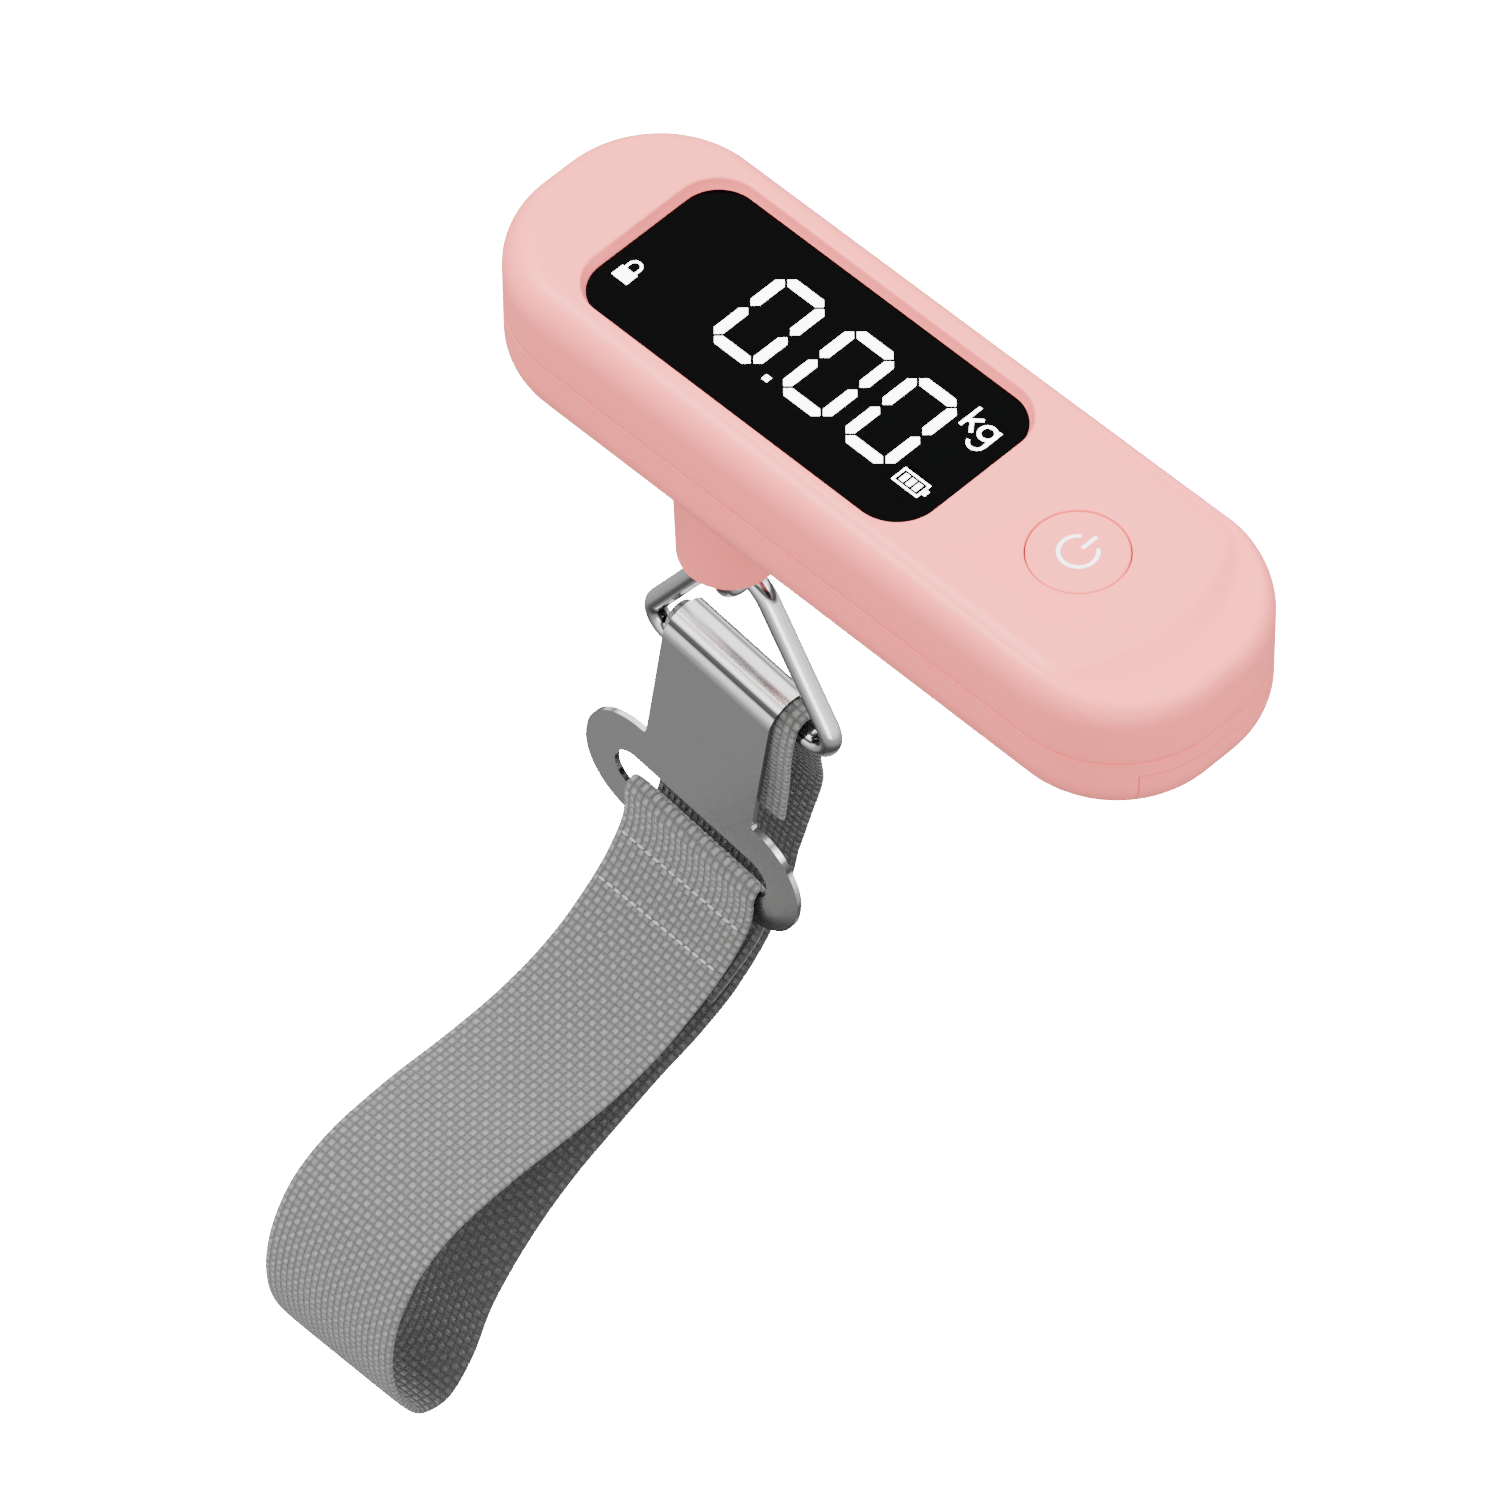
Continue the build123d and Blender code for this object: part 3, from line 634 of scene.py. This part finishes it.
@dataclass
class Readout:
    """The lit signs under the window: three zeros, a point, the unit, a lock and a battery."""

    centre_x: float = -14.3
    height: float = 10.36
    digit_width: float = 8.9
    digit_height: float = 15.2
    digit_y: float = 0.7
    stroke: float = 1.65
    digit_x: tuple = (-7.6, 5.1, 16.5)
    letter_stroke: float = 0.55
    letter_taper: float = 0.1
    lock_stroke: float = 0.4
    battery_stroke: float = 0.35
    arc_steps: int = 28
    points: list = field(default_factory=list)
    faces: list = field(default_factory=list)

    def poly(self, corners: list) -> None:
        """Adds one flat sign.

        Args:
            corners: its corners as x and y from the display's centre, in millimetres.
        """
        flat = np.asarray(corners, float) + (self.centre_x, 0.0)
        start = sum(len(sign) for sign in self.points)
        self.points.append(np.column_stack([flat, np.full(len(flat), self.height)]))
        self.faces.append(tuple(range(start, start + len(flat))))

    def bar(self, a: tuple, b: tuple, width: float, taper: float = 0.5) -> None:
        """Adds a straight stroke with pointed ends.

        Args:
            a: one end, as x and y.
            b: the other end.
            width: the stroke's width.
            taper: the length of each point, as a share of the width.
        """
        start, end = np.array(a, float), np.array(b, float)
        ahead = (end - start) / max(np.linalg.norm(end - start), 1e-9)
        side = np.array([-ahead[1], ahead[0]]) * width / 2
        point = ahead * width * taper
        right = [start + point - side, end - point - side]
        left = [end - point + side, start + point + side]
        self.poly([start, *right, end, *left])

    def arc(self, x: float, y: float, radius: float, width: float, start: float, end: float) -> None:
        """Adds a curved stroke.

        Args:
            x: centre.
            y: centre.
            radius: middle radius.
            width: the stroke's width.
            start: first angle in degrees.
            end: last angle in degrees.
        """
        angles = np.radians(np.linspace(start, end, self.arc_steps))
        ring = np.stack([np.cos(angles), np.sin(angles)], axis=1)
        outer, inner = ((x, y) + (radius + half) * ring for half in (width / 2, -width / 2))
        for quad in np.stack([outer[:-1], outer[1:], inner[1:], inner[:-1]], axis=1):
            self.poly(quad)

    def zero(self, x: float) -> None:
        """Adds a seven-segment zero.

        Args:
            x: its centre.
        """
        for (u0, v0), (u1, v1) in SEGMENTS.values():
            ends = []
            for u, v in ((u0, v0), (u1, v1)):
                px = x + (u - 0.5) * (self.digit_width - self.stroke)
                ends.append((px, self.digit_y + (v - 0.5) * (self.digit_height - self.stroke)))
            self.bar(ends[0], ends[1], self.stroke)

    def unit(self) -> None:
        """Adds the unit, kg: a stem with two arms, then a bowl with a tail."""
        stroke, taper = self.letter_stroke, self.letter_taper
        self.bar((22.3, 5.6), (22.3, 9.6), stroke, taper)
        self.bar((22.3, 6.7), (24.2, 8.3), stroke, taper)
        self.bar((23.0, 7.2), (24.3, 5.6), stroke, taper)
        self.arc(26.0, 7.0, 1.15, stroke, 0, 360)
        self.bar((27.2, 8.3), (27.2, 5.0), stroke, taper)
        self.arc(26.0, 5.0, 1.2, 0.5, 200, 360)

    def lock(self) -> None:
        """Adds the lock: a block and a shackle."""
        self.poly([(-28.1, -7.9), (-25.3, -7.9), (-25.3, -5.8), (-28.1, -5.8)])
        self.bar((-27.6, -6.0), (-27.6, -4.9), self.lock_stroke, 0.0)
        self.bar((-25.8, -6.0), (-25.8, -4.9), self.lock_stroke, 0.0)
        self.arc(-26.7, -4.95, 0.9, self.lock_stroke, 0, 180)

    def battery(self) -> None:
        """Adds the battery: an outline, its cap and three cells."""
        self.bar((22.4, -4.6), (27.0, -4.6), self.battery_stroke, 0.0)
        self.bar((22.4, -7.0), (27.0, -7.0), self.battery_stroke, 0.0)
        self.bar((22.55, -7.1), (22.55, -4.5), self.battery_stroke, 0.0)
        self.bar((26.85, -7.1), (26.85, -4.5), self.battery_stroke, 0.0)
        self.poly([(27.1, -6.3), (27.6, -6.3), (27.6, -5.3), (27.1, -5.3)])
        first, pitch, width = 23.15, 1.15, 0.8
        for cell in range(3):
            left = first + pitch * cell
            self.poly([(left, -6.5), (left + width, -6.5), (left + width, -5.1), (left, -5.1)])

    def build(self, finishes: Finishes) -> bpy.types.Object:
        """Makes all the signs as one object.

        Args:
            finishes: the scene's materials.

        Returns:
            The readout object.
        """
        for x in self.digit_x:
            self.zero(x)
        self.poly([(-1.5, -6.9), (-0.5, -6.9), (-0.5, -5.9), (-1.5, -5.9)])
        self.unit()
        self.lock()
        self.battery()
        points = np.concatenate(self.points)
        obj = mesh_object("display_signs", points, self.faces, [finishes.white_ink], smooth=False)
        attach(obj, Body.HANDLE.value)
        LOG.info("readout: %d signs", len(self.faces))
        return obj


@dataclass
class PowerMark:
    """A plain power symbol on the button: an open ring and a stroke, printed white with a painted glow."""

    x: float = 34.75
    height: float = 12.03
    radius: float = 2.6
    stroke: float = 0.55
    ring_ends: tuple = (125, 415)
    bar_from: float = 0.7
    bar_past: float = 0.9
    taper: float = 0.2

    def build(self, finishes: Finishes) -> bpy.types.Object:
        """Makes the mark.

        Args:
            finishes: the scene's materials.

        Returns:
            The mark object.
        """
        signs = Readout(centre_x=self.x, height=self.height)
        signs.arc(0, 0, self.radius, self.stroke, *self.ring_ends)
        signs.bar((0, self.bar_from), (0, self.radius + self.bar_past), self.stroke, self.taper)
        points = np.concatenate(signs.points)
        obj = mesh_object("power_mark", points, signs.faces, [finishes.icon_ink_painted_glow], smooth=False)
        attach(obj, Body.BUTTON.value)
        LOG.info("power mark")
        return obj


@dataclass
class UpperSkin:
    """The display-side shell's outer surface: soft platform, window recess and button hole.

    Each ring is the body's outline moved inwards: two corner centres on each side stay put and the
    corner radius shrinks.  The height is a quarter ellipse at the rim, then a level ledge, then an
    S-shaped rise to the level top.
    """

    body_half: tuple = (61.2, 19.5)
    corner: float = 17.0
    drop_side: float = 0.45
    drop_end: float = 1.45
    rim: float = 2.3
    rim_behind: float = 1.7
    rim_round: float = 0.7
    ledge_side: float = 0.1
    ledge_end: float = 3.4
    rise_gap: float = 0.06
    rise_side: float = 1.75
    rise_end: float = 2.8
    lip_depth: float = 0.55
    lip_inward: float = 0.8
    lip_foot: tuple = (1.05, 1.9)
    parting_z: float = -0.3
    top_z: float = 12.0
    wall_z: float = 6.6
    window_x: float = -14.3
    lip_half: tuple = (31.25, 14.95, 6.9)
    button: tuple = (34.75, 0.0, 7.0)
    button_lip: tuple = ((0.16, 0.0), (0.06, 0.03), (0.02, 0.12), (0.0, 0.4), (0.0, 3.6))
    samples: int = 256

    def outline(self, half: tuple, inset: np.ndarray | float, height: np.ndarray | float,
                x: float) -> np.ndarray:
        """One rounded-rectangle ring.

        Args:
            half: half length, half width and corner radius.
            inset: how far it is moved inwards, one number or one for each sample.
            height: Z, one number or one for each sample.
            x: the ring's centre along X.

        Returns:
            The ring's points, anticlockwise from +X.
        """
        turn = self.turn()
        radius = half[2] - inset
        px = x + np.where(np.cos(turn) >= 0, 1, -1) * (half[0] - half[2]) + radius * np.cos(turn)
        py = np.where(np.sin(turn) >= 0, 1, -1) * (half[1] - half[2]) + radius * np.sin(turn)
        return np.stack([px, py, np.broadcast_to(height, px.shape)], axis=1)

    def turn(self) -> np.ndarray:
        """The direction of each sample, a quarter of them in each corner.

        Returns:
            Angles in radians.
        """
        quarter = np.linspace(0.0, np.pi / 2, self.samples // 4)
        nudge = 1e-4
        return np.concatenate([np.clip(quarter, nudge, np.pi / 2 - nudge) + k * np.pi / 2 for k in range(4)])

    def shoulder(self) -> list:
        """Rings from the parting line up to the edge of the level top.

        Returns:
            The rings, from the outside inwards.
        """
        turn = self.turn()
        toward = np.clip(np.cos(turn), 0, 1)
        ahead = toward * toward * (3 - 2 * toward)
        behind = np.where(np.cos(turn) < 0, 1.0, 0.0)
        drop = (self.drop_side + self.drop_end * ahead) * (1 - behind)
        rim = self.rim + self.rim_behind * behind + self.rim_round * np.clip(-np.cos(turn), 0, 1)
        ledge = rim + (self.ledge_side + self.ledge_end * ahead) * (1 - behind)
        level = ledge + self.rise_gap + (self.rise_side + self.rise_end * ahead) * (1 - behind)
        half = (*self.body_half, self.corner)
        rings = [self.outline(half, 0.25, self.parting_z, 0)]
        rings.append(self.outline(half, 0.05, self.parting_z + 0.2, 0))
        rings += [self.outline(half, 0.0, z, 0) for z in np.linspace(self.parting_z + 0.45, self.wall_z, 5)]
        shelf = self.top_z - drop
        for step in np.linspace(0, 1, 18)[1:]:
            lift = math.sin(step * math.pi / 2)
            inward = 1 - math.cos(step * math.pi / 2)
            rings.append(self.outline(half, rim * inward, self.wall_z + (shelf - self.wall_z) * lift, 0))
        for step in (0.33, 0.66, 1.0):
            rings.append(self.outline(half, rim + (ledge - rim) * step, shelf, 0))
        for step in np.linspace(0, 1, 14)[1:]:
            rise = step * step * (3 - 2 * step)
            rings.append(self.outline(half, ledge + (level - ledge) * step, shelf + drop * rise, 0))
        return rings

    def recess(self) -> list:
        """Rings of the window's soft lip, from the level top down to the window.

        Returns:
            The rings, from the top down.
        """
        rings = []
        for step in np.linspace(0, 1, 10):
            inward = self.lip_depth * math.sin(step * math.pi / 2) * self.lip_inward
            height = self.top_z - self.lip_depth * (1 - math.cos(step * math.pi / 2))
            rings.append(self.outline(self.lip_half, inward, height, self.window_x))
        inward, down = self.lip_foot
        rings.append(self.outline(self.lip_half, inward, self.top_z - down, self.window_x))
        return rings

    def hole(self) -> list:
        """Rings of the button's hole, from the level top down.

        Returns:
            The rings, from the top down.
        """
        turn = self.turn()
        rings = []
        x, y, hole_radius = self.button
        for grow, down in self.button_lip:
            radius = hole_radius + grow
            height = np.full(turn.shape, self.top_z - down)
            rings.append(np.stack([x + radius * np.cos(turn), y + radius * np.sin(turn), height], axis=1))
        return rings

    def build(self, finishes: Finishes) -> bpy.types.Object:
        """Makes the skin: three sets of rings and the level top between them.

        Args:
            finishes: the scene's materials.

        Returns:
            The skin object.
        """
        points, faces, inner = [], [], []
        for rings, flip in ((self.shoulder(), False), (self.recess(), True), (self.hole(), True)):
            start = len(points) * self.samples
            quads = grid_faces(len(rings), self.samples, wrap_columns=True)
            faces += [tuple(start + i for i in (q[::-1] if flip else q)) for q in quads]
            edge = start if flip else start + (len(rings) - 1) * self.samples
            inner.append([edge + i for i in range(self.samples)])
            points += rings
        obj = mesh_object("upper_skin", np.concatenate(points), faces, [finishes.pink])
        work = bmesh.new()
        work.from_mesh(obj.data)
        work.verts.ensure_lookup_table()
        rim = [work.edges.get((work.verts[a], work.verts[b])) for loop in inner
               for a, b in zip(loop, loop[1:] + loop[:1])]
        made = bmesh.ops.triangle_fill(work, edges=[e for e in rim if e], use_beauty=True, normal=(0, 0, 1))
        for face in made["geom"]:
            if isinstance(face, bmesh.types.BMFace):
                face.smooth = True
        bmesh.ops.recalc_face_normals(work, faces=work.faces)
        work.to_mesh(obj.data)
        work.free()
        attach(obj, Body.HANDLE.value)
        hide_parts("upper_housing")
        LOG.info("upper skin: %d faces", len(obj.data.polygons))
        return obj


class CadFinishes:
    """Gives every CAD node its material."""

    def build(self, frame: dict, finishes: Finishes) -> None:
        """Sets one material on each node.

        Args:
            finishes: the scene's materials.
        """
        table = {
            "upper_housing": finishes.pink, "lower_housing": finishes.pink,
            "battery_door": finishes.pink, "button_cap": finishes.pink,
            "display_window": finishes.window, "window_gasket": finishes.foam,
            "display_module": finishes.display, "switch_dome": finishes.nickel,
            "circuit_board": finishes.board, "board_chip": finishes.chip,
            "load_cell": finishes.aluminium, "strain_gauges": finishes.foil,
            "load_cell_screws": finishes.zinc, "eye_rod": finishes.chrome, "rod_nut": finishes.zinc,
            "rod_washer": finishes.zinc, "battery_cells": finishes.cell, "contact_plates": finishes.nickel,
            "contact_springs": finishes.nickel, "housing_screws": finishes.zinc,
            "triangular_ring": finishes.chrome, "hook_plate": finishes.plate, "strap": finishes.web_out,
        }
        for name, node in frame["nodes"].items():
            node.data.materials.clear()
            node.data.materials.append(table[name])
            LOG.info("finish of %s: %s", name, table[name].name)


@dataclass
class Studio:
    """The camera, the soft lights and the pale floor."""

    azimuth: float = math.radians(45.331)
    elevation: float = math.radians(51.058)
    roll: float = math.radians(-0.573)
    distance: float = 1946.919
    shift_right: float = -7.367
    shift_up: float = -52.251
    lens: float = 360.0
    aim: tuple = (-14.3, 0.0, 12.0)
    floor_z: float = -230.0
    floor_reach: float = 6000.0
    floor_glow: float = 40.0
    sky_low: float = 0.5
    sky_high: float = 3.5
    sky_from: float = -0.5
    sky_to: float = 0.9
    lamps: tuple = (
        ("key", (-0.55, 0.75, 0.65), 0.55, 16.0),
        ("fill", (0.8, 0.15, 0.7), 0.7, 4.0),
        ("rim", (0.1, -0.8, 0.5), 0.5, 2.0),
    )

    def axes(self) -> tuple[Vector, Vector, Vector]:
        """The camera's right, up and back directions.

        Returns:
            Three unit vectors.
        """
        back = Vector((math.sin(self.azimuth) * math.cos(self.elevation),
                       -math.cos(self.azimuth) * math.cos(self.elevation), math.sin(self.elevation)))
        right = Vector((math.cos(self.azimuth), math.sin(self.azimuth), 0))
        up = back.cross(right)
        turned_right = right * math.cos(self.roll) + up * math.sin(self.roll)
        turned_up = up * math.cos(self.roll) - right * math.sin(self.roll)
        return turned_right, turned_up, back

    def camera(self) -> None:
        """Makes the camera."""
        right, up, back = self.axes()
        where = Vector(self.aim) + back * self.distance + right * self.shift_right + up * self.shift_up
        data = bpy.data.cameras.new("camera")
        data.lens = self.lens
        data.sensor_width = 36.0
        data.clip_end = 50.0
        obj = bpy.data.objects.new("camera", data)
        turn = Matrix((right, up, back)).transposed().to_4x4()
        obj.matrix_world = Matrix.Translation(where * MM) @ turn
        bpy.context.scene.collection.objects.link(obj)
        bpy.context.scene.camera = obj
        LOG.info("camera")

    def light(self, name: str, place: tuple, size: float, power: float) -> None:
        """Adds a square area light that looks at the object.

        Args:
            name: the light's name.
            place: where it is, in metres, as right, up and back of the camera's view.
            size: its side, in metres.
            power: its strength in watts.
        """
        right, up, back = self.axes()
        where = right * place[0] + up * place[1] + back * place[2]
        data = bpy.data.lights.new(name, "AREA")
        data.size = size
        data.energy = power
        obj = bpy.data.objects.new(name, data)
        obj.matrix_world = Matrix.Translation(where) @ where.to_track_quat("Z", "Y").to_matrix().to_4x4()
        bpy.context.scene.collection.objects.link(obj)

    def floor(self) -> None:
        """Adds the pale level floor, which is seen from above only and throws nothing on the object."""
        reach = self.floor_reach
        corners = [(-reach, -reach), (reach, -reach), (reach, reach), (-reach, reach)]
        glow = self.floor_glow
        white = Finish("floor_white", "FFFFFF", roughness=0.95, emission=glow).make()
        tree = white.node_tree
        side = add_node(tree, "ShaderNodeNewGeometry")
        clear = add_node(tree, "ShaderNodeBsdfTransparent")
        choose = add_node(tree, "ShaderNodeMixShader")
        tree.links.new(side.outputs["Backfacing"], choose.inputs["Fac"])
        tree.links.new(tree.nodes["Principled BSDF"].outputs["BSDF"], choose.inputs[1])
        tree.links.new(clear.outputs["BSDF"], choose.inputs[2])
        tree.links.new(choose.outputs["Shader"], tree.nodes["Material Output"].inputs["Surface"])
        points = np.array([(x, y, self.floor_z) for x, y in corners])
        obj = mesh_object("floor", points, [(0, 1, 2, 3)], [white], smooth=False)
        obj.visible_diffuse = False
        obj.visible_glossy = False
        obj.visible_shadow = False
        obj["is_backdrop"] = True

    def build(self) -> None:
        """Makes the world light, the lamps and the floor."""
        world = bpy.data.worlds.new("studio")
        bpy.context.scene.world = world
        world.use_nodes = True
        tree = world.node_tree
        place = add_node(tree, "ShaderNodeTexCoord")
        split = add_node(tree, "ShaderNodeSeparateXYZ")
        tree.links.new(place.outputs["Generated"], split.inputs["Vector"])
        level = add_node(tree, "ShaderNodeMapRange")
        level.inputs["From Min"].default_value = self.sky_from
        level.inputs["From Max"].default_value = self.sky_to
        level.inputs["To Min"].default_value = self.sky_low
        level.inputs["To Max"].default_value = self.sky_high
        tree.links.new(split.outputs["Z"], level.inputs["Value"])
        tree.links.new(level.outputs["Result"], tree.nodes["Background"].inputs["Strength"])
        tree.nodes["Background"].inputs["Color"].default_value = (1, 1, 1, 1)
        for name, place_at, size, power in self.lamps:
            self.light(name, place_at, size, power)
        self.floor()
        LOG.info("studio")


def write_size(stage: str, sizes: dict) -> None:
    """Args:
        stage: when the box was taken.
        sizes: the boxes so far, by stage.
    """
    low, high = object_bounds()
    sizes[stage] = [list(low), list(high)]


def main() -> None:
    """Builds the whole scene in order."""
    for obj in list(bpy.data.objects):
        bpy.data.objects.remove(obj)
    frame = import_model()
    sizes: dict = {}
    write_size("cad", sizes)
    studio = Studio()
    studio.camera()
    finishes = Finishes()
    CadFinishes().build(frame, finishes)
    UpperSkin().build(finishes)
    Strap().build(finishes)
    Readout().build(finishes)
    PowerMark().build(finishes)
    studio.build()
    write_size("shown", sizes)
    LOG.info("bounds kept")


if __name__ == "__main__":
    main()
